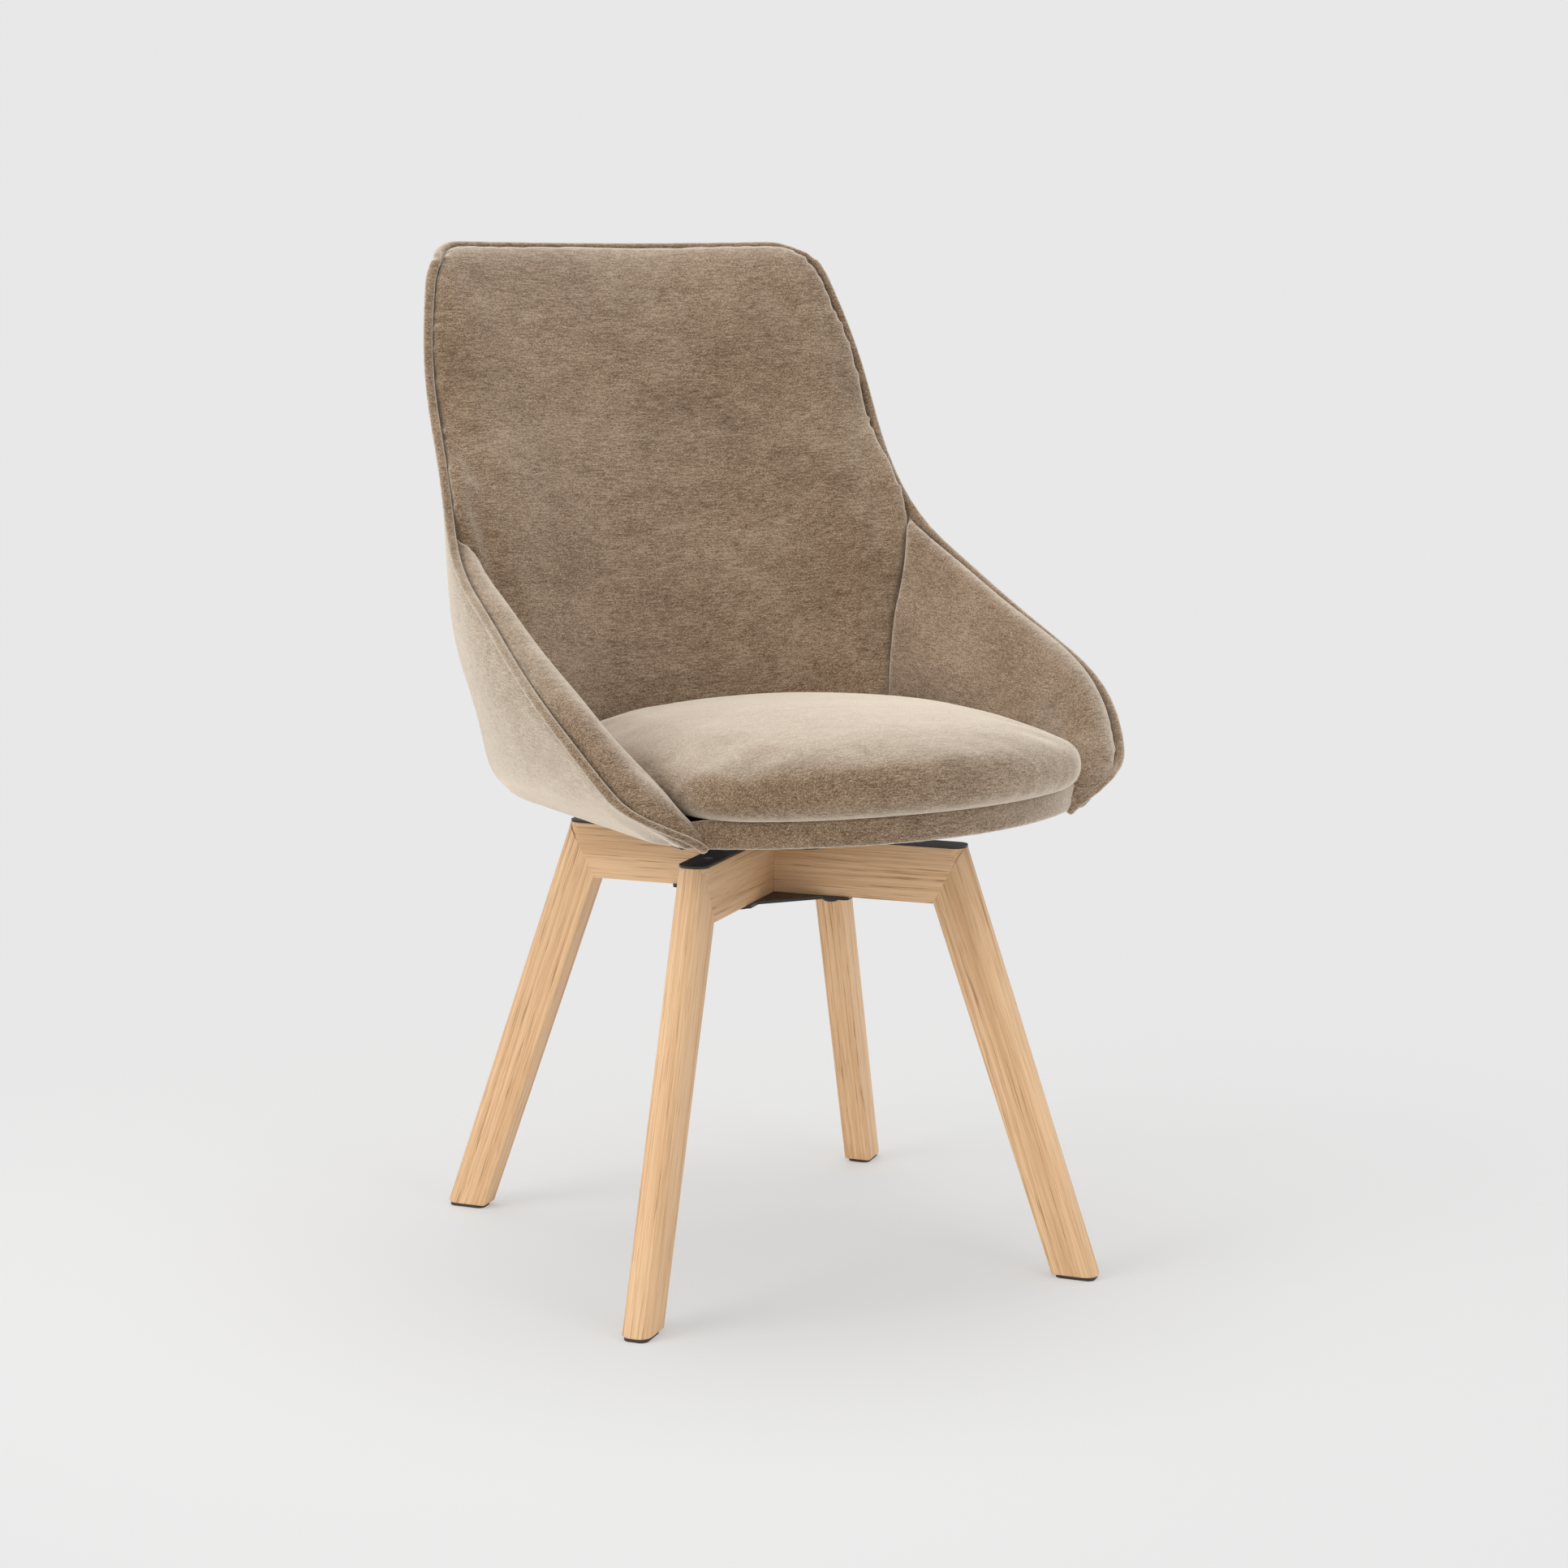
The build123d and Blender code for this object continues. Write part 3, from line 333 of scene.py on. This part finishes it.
legs = ("leg_back_right", "leg_back_left", "leg_front_left", "leg_front_right")
beams = ("beam_lower", "beam_upper")
base_twist = 7.5            # degrees that the cross stands round from the seat's diagonals
base_turn = radians(45 - base_twist)
leg_lean = 0.34
leg_figure = 0.37           # steps between the boards' places in the grain
beam_figure = 0.51
beam_start = 0.2
for index, leg in enumerate(legs):
    turn = base_turn + index * pi / 2
    grain = (-leg_lean * cos(turn), -leg_lean * sin(turn), 1.0)
    coat([leg], oak(leg + "_oak", grain, leg_figure * index))
for index, beam in enumerate(beams):
    turn = base_turn + index * pi / 2
    coat([beam], oak(beam + "_oak", (cos(turn), sin(turn), 0.0), beam_figure * index + beam_start))
coat(["mitre_tenons"], beech)
# These under-seat parts take the darker fabric copy: painted shade.
coat(["seat_board", "shell_core", "rail_core"], shaded_cloth)
coat(["top_plate"], plate_paint)
coat(["under_brace", "frame_bolts", "lower_flange", "upper_flange"], black_steel)
coat(["plate_screws", "frame_washers", "frame_nuts", "lower_race", "upper_race", "bearing_balls",
      "spindle", "spindle_washer", "spindle_nut", "seat_bolts", "tee_nuts"], zinc)
coat(["foot_glides"], glide_plastic)
coat(["ball_cage", "pivot_bush"], pale_plastic)
coat(["seat_foam"], foam_paint)
coat(["dust_cloth"], dust_black)


# -------------------------------------------------------------- upholstery
smooth_factor = 0.5
puff_frames = 20
cloth_mass = 0.25
cloth_stretch = 18
cloth_shear = 8
cloth_bend = 1.2
sewn_reach = 0.006          # cloth this near the moulded core is sewn to it
seam_reach = 0.003          # and this near the next pad it is held by the seam between them
seam_hold = 0.9


def select_only(piece):
    bpy.ops.object.select_all(action="DESELECT")
    piece.select_set(True)
    bpy.context.view_layer.objects.active = piece


def remeshed(name, sources, voxel):
    """One closed, even mesh over the solids of one or more CAD pieces."""
    form = bmesh.new()
    for source in sources:
        form.from_mesh(nodes[source].data)
    data = bpy.data.meshes.new(name)
    form.to_mesh(data)
    form.free()
    piece = bpy.data.objects.new(name, data)
    scene.collection.objects.link(piece)
    select_only(piece)
    even = piece.modifiers.new("even", "REMESH")
    even.mode = "VOXEL"
    even.voxel_size = voxel
    even.use_smooth_shade = True
    bpy.ops.object.modifier_apply(modifier=even.name)
    return piece


def smoothed(piece, rounds):
    select_only(piece)
    smooth = piece.modifiers.new("smooth", "SMOOTH")
    smooth.iterations = rounds
    smooth.factor = smooth_factor
    bpy.ops.object.modifier_apply(modifier=smooth.name)


def subdivided(piece):
    select_only(piece)
    fine = piece.modifiers.new("fine", "SUBSURF")
    fine.levels = 1
    fine.render_levels = 1
    bpy.ops.object.modifier_apply(modifier=fine.name)
    for face in piece.data.polygons:
        face.use_smooth = True


def surface(*names):
    """Search tree over CAD pieces, for distances to them."""
    points = []
    faces = []
    for name in names:
        start = len(points)
        data = nodes[name].data
        points += [vertex.co.copy() for vertex in data.vertices]
        faces += [[start + corner for corner in face.vertices] for face in data.polygons]
    return BVHTree.FromPolygons(points, faces)


def distance(tree, point):
    return tree.find_nearest(point)[3]


def puffed(piece, held, pressure, cap):
    """Blows the piece up as a closed cloth; held gives how firmly each point stays.

    No point moves further than the cap.
    """
    group = piece.vertex_groups.new(name="held")
    for vertex in piece.data.vertices:
        firm = held(vertex.co)
        if firm > 0:
            group.add([vertex.index], firm, "REPLACE")
    rest = [vertex.co.copy() for vertex in piece.data.vertices]
    select_only(piece)
    cloth = piece.modifiers.new("puff", "CLOTH")
    settings = cloth.settings
    settings.quality = 5
    settings.mass = cloth_mass
    settings.tension_stiffness = cloth_stretch
    settings.compression_stiffness = cloth_stretch
    settings.shear_stiffness = cloth_shear
    settings.bending_stiffness = cloth_bend
    settings.use_pressure = True
    settings.uniform_pressure_force = pressure
    settings.vertex_group_mass = group.name
    settings.effector_weights.gravity = 0
    cloth.collision_settings.use_collision = False
    cloth.point_cache.frame_start = 1
    cloth.point_cache.frame_end = puff_frames
    for step in range(1, puff_frames + 1):
        scene.frame_set(step)
    bpy.ops.object.modifier_apply(modifier=cloth.name)
    scene.frame_set(1)
    for vertex, start in zip(piece.data.vertices, rest):
        moved = vertex.co - start
        if moved.length > cap:
            vertex.co = start + moved * (cap / moved.length)


def seated(piece, replaced, material):
    """Puts a finished upholstery piece on the seat in place of its solids."""
    piece.data.materials.clear()
    piece.data.materials.append(material)
    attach(piece, "seat")
    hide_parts(*replaced)


def ripple(point, scale, seed):
    """Smooth random number between about -1 and 1."""
    return noise.noise(Vector((point.x * scale + seed, point.y * scale, point.z * scale)))


def undulated(piece, swell, height, scale, seed):
    """Fills the cover out a little, with the broad, shallow unevenness of padding under cloth."""
    moves = [
        vertex.normal * (swell + height * ripple(vertex.co, scale, seed)) for vertex in piece.data.vertices
    ]
    for vertex, move in zip(piece.data.vertices, moves):
        vertex.co += move


top_edge = cad_high[2]      # the cord's upper side
back_foot = 0.62            # above this height the back leans, widens and flattens a little
back_half = 0.205           # its half width
back_lean = 0.012
back_spread = 0.008
plan_flat = 0.018           # the top edge's middle comes forward by this much
top_dip = 0.0025            # and down by this much
corner_x = 0.151            # centre and outer radius of the back's top corners
corner_r = 0.0515
corner_lean = (0.960, 0.279)        # the back's side edge faces this way in the front view
solid_corner_x = 0.165      # the same corner on the solids
solid_corner_r = 0.0495
solid_corner_z = top_edge - solid_corner_r
# The arms' front ends turn in towards the rail, more and more from the first values to the second.
foot_z = (0.430, 0.388)
foot_y = (-0.140, -0.185)
foot_turn = 0.020
foot_reach = 0.003


def share(value, start, end):
    """How far a value is from start to end, eased at both ends."""
    t = min(1.0, max(0.0, (value - start) / (end - start)))
    return t * t * (3 - 2 * t)


def corner_edge(aim_x, aim_z):
    """Distance from the corner's centre to the solids' outline, along a direction."""
    edge = min(corner_r / aim_z, corner_r / (aim_x * corner_lean[0] + aim_z * corner_lean[1]))
    off_x = solid_corner_x - corner_x
    off_z = solid_corner_z - top_edge + corner_r
    if edge * aim_x < off_x or edge * aim_z < off_z:
        return edge
    near = off_x * aim_x + off_z * aim_z
    return min(edge, near + (near * near - off_x**2 - off_z**2 + solid_corner_r**2) ** 0.5)


def shaped(piece):
    """Draws the bucket's pieces to the sewn outline: corners, top edge and front ends."""
    for vertex in piece.data.vertices:
        point = vertex.co
        side = 1.0 if point.x > 0 else -1.0
        wide = abs(point.x) - corner_x
        high = point.z - (top_edge - corner_r)
        far = (wide * wide + high * high) ** 0.5
        if wide > 0 and high > far * corner_lean[1]:
            edge = corner_edge(wide / far, high / far)
            scale = 1.0 - (1.0 - corner_r / edge) * min(1.0, far / edge) ** 2
            point.x += side * wide * (scale - 1.0)
            point.z += high * (scale - 1.0)
        rise = max(0.0, (point.z - back_foot) / (top_edge - back_foot)) ** 2
        point.x += side * back_spread * rise * min(1.0, abs(point.x) / back_half)
        outward = min(1.0, abs(point.x) / back_half)
        point.y += back_lean * rise
        point.y -= plan_flat * rise * (1.0 - outward**3)
        point.z -= top_dip * rise * (1.0 - outward**2)
        turn = share(point.z, *foot_z) * share(point.y, *foot_y)
        point.x -= side * foot_turn * turn
        point.y -= foot_reach * turn


wall = surface("shell_core")


def sewn_along(neighbour):
    """Holds a pad's points at the sewn edge, and a little less along the seam with its neighbour."""

    def held(point):
        if distance(wall, point) < sewn_reach:
            return 1.0
        return seam_hold if distance(neighbour, point) < seam_reach else 0.0

    return held


# Cushion: domed, drawn in along its lower seam.
seam_rise = 0.009
cushion_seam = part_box("seat_cushion")[0][2] + seam_rise


def cushion_held(point):
    return 1.0 if point.z < cushion_seam else 0.0


cushion = remeshed("cushion_soft", ["seat_cushion"], voxel=0.0055)
puffed(cushion, cushion_held, pressure=1.6, cap=0.006)
smoothed(cushion, rounds=16)
undulated(cushion, swell=0.0024, height=0.0008, scale=9.0, seed=7.7)
subdivided(cushion)
seated(cushion, ["seat_cushion"], cloth_main)

# Back: one broad pad, held round its edge.
arm_faces = surface("arm_pad_left", "arm_pad_right")
back = remeshed("back_soft", ["back_pad"], voxel=0.0045)
puffed(back, sewn_along(arm_faces), pressure=0.9, cap=0.004)
smoothed(back, rounds=6)
undulated(back, swell=0.0015, height=0.0010, scale=12.0, seed=3.1)
shaped(back)
subdivided(back)
seated(back, ["back_pad"], cloth_main)

# Arm pads: they swell inwards from the wall and from the seam with the back.
# The route of the cord along an arm, from the front up: y and z.
rim_line = (
    (-0.185, 0.392),
    (-0.168, 0.428),
    (-0.123, 0.471),
    (-0.042, 0.515),
    (0.052, 0.563),
    (0.109, 0.599),
    (0.146, 0.647),
    (0.183, 0.731),
)
roll_deep = 0.070           # the pad's top rolls over within this depth under the rim
roll_wide = (0.236, 0.190)  # from the wall side to the inner side
roll_front = (-0.165, -0.090)       # the roll begins and is full
roll_drop = 0.014
roll_slim = 0.009
# The front end reaches down beside the rail, more and more from the first values to the second.
arm_front_y = (-0.152, -0.176)
arm_front_z = (0.428, 0.404)
arm_foot_drop = 0.013
arm_front_out = 0.005


def rim_height(y):
    for (y0, z0), (y1, z1) in zip(rim_line, rim_line[1:]):
        if y <= y1:
            return z0 + (z1 - z0) * max(0.0, (y - y0) / (y1 - y0))
    return rim_line[-1][1]


def reached(piece):
    """Draws the arm pad's front end down and out beside the rail."""
    for vertex in piece.data.vertices:
        forward = share(vertex.co.y, *arm_front_y)
        vertex.co.z -= arm_foot_drop * forward * share(vertex.co.z, *arm_front_z)
        vertex.co.y -= arm_front_out * forward


def rolled(piece):
    """Rolls the arm pad's top over towards its inner face."""
    for vertex in piece.data.vertices:
        point = vertex.co
        top = share(point.z, rim_height(point.y) - roll_deep, rim_height(point.y))
        inner = share(abs(point.x), *roll_wide)
        amount = top * inner * share(point.y, *roll_front)
        point.z -= roll_drop * amount
        point.x += (roll_slim if point.x > 0 else -roll_slim) * amount


back_face = surface("back_pad")
for side in ("left", "right"):
    arm = remeshed("arm_soft_" + side, ["arm_pad_" + side], voxel=0.004)
    reached(arm)
    puffed(arm, sewn_along(back_face), pressure=1.0, cap=0.003)
    smoothed(arm, rounds=3)
    rolled(arm)
    undulated(arm, swell=0.0008, height=0.0008, scale=14.0, seed=5.3)
    shaped(arm)
    subdivided(arm)
    seated(arm, ["arm_pad_" + side], cloth_main)

# Bucket: the cover round the moulded core, closed up to the cord.
bucket = remeshed("bucket_cover", ["outer_cover", "shell_core", "piping"], voxel=0.0030)
smoothed(bucket, rounds=3)
shaped(bucket)
seated(bucket, ["outer_cover", "shell_core"], cloth_main)

# Piping cord round the rim.
piping = remeshed("piping_cord", ["piping"], voxel=0.0014)
smoothed(piping, rounds=3)
undulated(piping, swell=0.0006, height=0.0, scale=1.0, seed=0.0)
shaped(piping)
seated(piping, ["piping"], cloth_main)

# Rail under the front of the cushion.
rail_end_x = (0.160, 0.181)
rail_run = 0.010
rail_slope = 0.73           # the ends run back by this share of what they run out


def run_on(piece):
    """Runs the rail's ends on under the arms' front ends."""
    for vertex in piece.data.vertices:
        out = rail_run * share(abs(vertex.co.x), *rail_end_x)
        vertex.co.x += out if vertex.co.x > 0 else -out
        vertex.co.y += out * rail_slope


rail = remeshed("rail_cover", ["front_rail"], voxel=0.0025)
run_on(rail)
smoothed(rail, rounds=4)
# The rail takes the darker fabric copy: painted shade.
seated(rail, ["front_rail"], shaded_cloth)

# ------------------------------------------------------------------ studio
floor_tone = (0.80, 0.80, 0.80, 1.0)
backdrop_tone = (0.806, 0.806, 0.806, 1.0)
floor_near = 0.42           # the floor takes light and shadow within this distance
floor_far = 1.15            # and is plain backdrop beyond this one
floor_haze = 0.42           # share of the backdrop's tone even close by, for faint shadows
floor_half_width = 14.0
floor_front = -12.0
floor_depth = 9.0
sweep_r = 3.0
sweep_steps = 16
backdrop_height = 14.0


def studio_floor():
    """Pale floor that curves up into a backdrop."""
    profile = [(floor_front, 0.0), (floor_depth, 0.0)]
    for step in range(1, sweep_steps + 1):
        turn = pi / 2 * step / sweep_steps
        profile.append((floor_depth + sweep_r * sin(turn), sweep_r * (1 - cos(turn))))
    profile.append((floor_depth + sweep_r, backdrop_height))
    form = bmesh.new()
    rows = []
    for y, z in profile:
        rows.append([form.verts.new((x, y, z)) for x in (-floor_half_width, floor_half_width)])
    for near, far in zip(rows, rows[1:]):
        form.faces.new((near[0], near[1], far[1], far[0]))
    data = bpy.data.meshes.new("studio_floor")
    form.to_mesh(data)
    form.free()
    for face in data.polygons:
        face.use_smooth = True
    floor = bpy.data.objects.new("studio_floor", data)
    floor.rotation_euler = (0.0, 0.0, camera_turn[2])
    scene.collection.objects.link(floor)
    paint = Paint("floor_paint")
    tree = paint.tree
    far_out = paint.node("ShaderNodeVectorMath", "Value", {"operation": "LENGTH"}, {0: paint.place()})
    seen = paint.node("ShaderNodeLightPath", "Is Camera Ray", {}, {})
    glow = tree.nodes.new("ShaderNodeEmission")
    glow.inputs["Color"].default_value = backdrop_tone
    blend = tree.nodes.new("ShaderNodeMixShader")
    plain_share = paint.ramp(far_out, floor_near, floor_far) * (1.0 - floor_haze) + floor_haze
    feed(tree, plain_share * seen, blend.inputs[0])
    tree.links.new(paint.shader.outputs[0], blend.inputs[1])
    tree.links.new(glow.outputs[0], blend.inputs[2])
    tree.links.new(blend.outputs[0], tree.nodes["Material Output"].inputs["Surface"])
    data.materials.append(paint.finish(
        Base_Color=floor_tone,
        Roughness=0.9,
        Specular_IOR_Level=0.05,
    ))
    return floor


white = (1.0, 1.0, 1.0)
warm_white = (1.0, 0.99, 0.97)
seat_mid = (0.0, 0.0, 0.55)
sky_level = 0.72


def softbox(name, place, size, power, tint):
    """Rectangular lamp that looks at the seat's middle."""
    data = bpy.data.lights.new(name, "AREA")
    data.shape = "RECTANGLE"
    data.size, data.size_y = size
    data.energy = power
    data.color = tint
    lamp = bpy.data.objects.new(name, data)
    lamp.location = place
    lamp.rotation_euler = (Vector(seat_mid) - Vector(place)).to_track_quat("-Z", "Y").to_euler()
    scene.collection.objects.link(lamp)
    return lamp


world = bpy.data.worlds.new("studio")
scene.world = world
world.use_nodes = True
sky = world.node_tree.nodes["Background"]
sky.inputs["Color"].default_value = (*white, 1.0)
sky.inputs["Strength"].default_value = sky_level
studio_floor()
softbox("key_left", (-2.9, 0.1, 1.7), size=(1.8, 1.8), power=36.0, tint=warm_white)
softbox("fill_front", (0.8, -4.2, 1.9), size=(2.4, 1.8), power=30.0, tint=white)
softbox("top", (0.2, 0.5, 3.2), size=(2.0, 2.0), power=24.0, tint=white)
